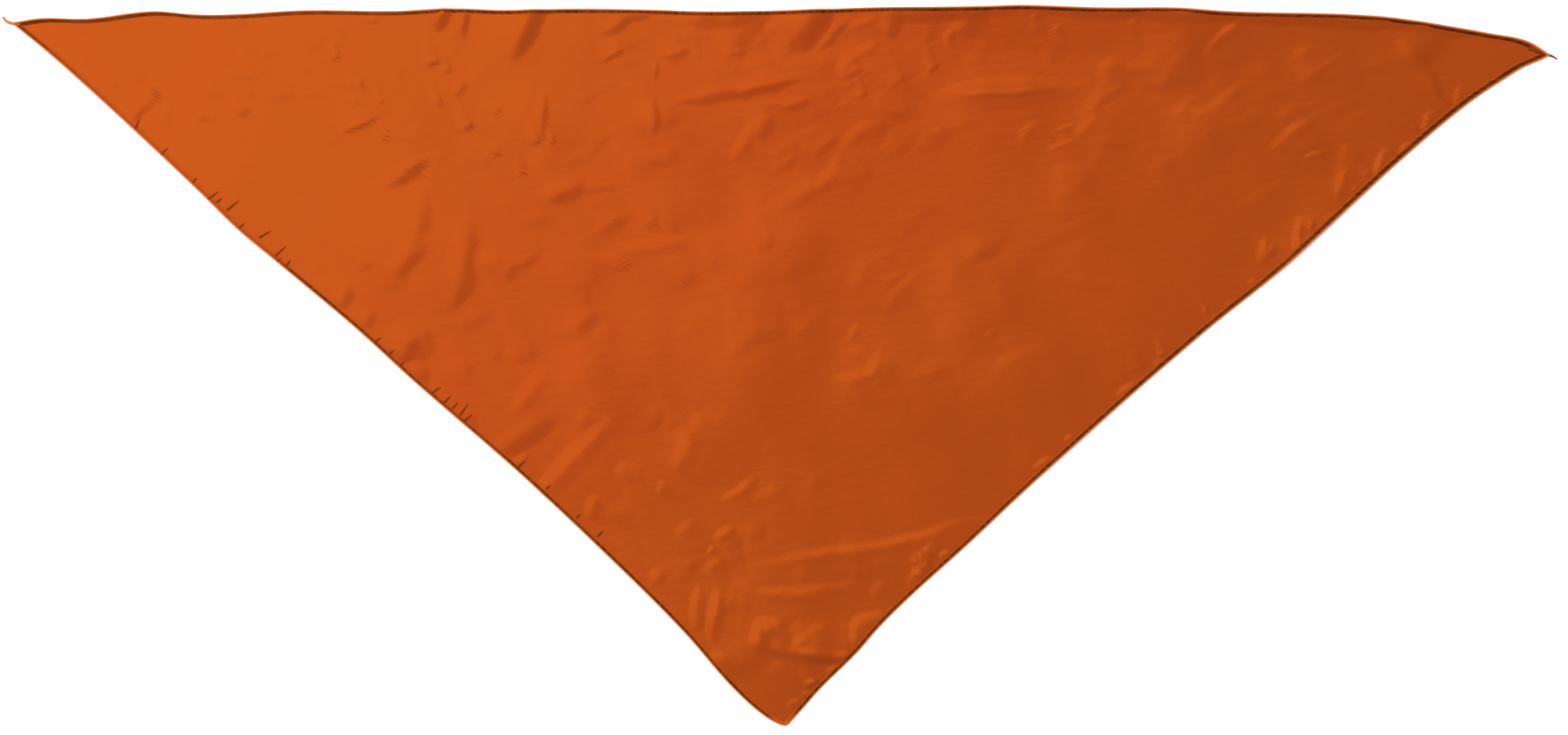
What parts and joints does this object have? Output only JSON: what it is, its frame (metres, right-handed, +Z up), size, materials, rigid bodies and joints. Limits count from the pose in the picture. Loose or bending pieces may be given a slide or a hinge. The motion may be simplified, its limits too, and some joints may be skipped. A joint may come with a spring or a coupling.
{
  "type": "triangular neckerchief",
  "caption": "Triangular neckerchief of light satin cloth lying flat, with low creases and a narrow overlocked hem round all its edges.",
  "frame": {"origin": "on the surface that the neckerchief lies on, under the middle of its bounding box", "axes": "+X along the long side to the right, +Y from the point of the triangle towards the long side, +Z up"},
  "size_m": [0.913, 0.428, 0.0076],
  "materials": {
    "cloth": "soft satin sheen, burnt orange",
    "hem": "overlocked thread and rolled cloth, orange with a brown stitched line"
  },
  "bodies": {
    "root": {"cloth_panel": "cloth", "hem_long_side": "hem", "hem_left_leg": "hem", "hem_right_leg": "hem"}
  },
  "joints": []
}
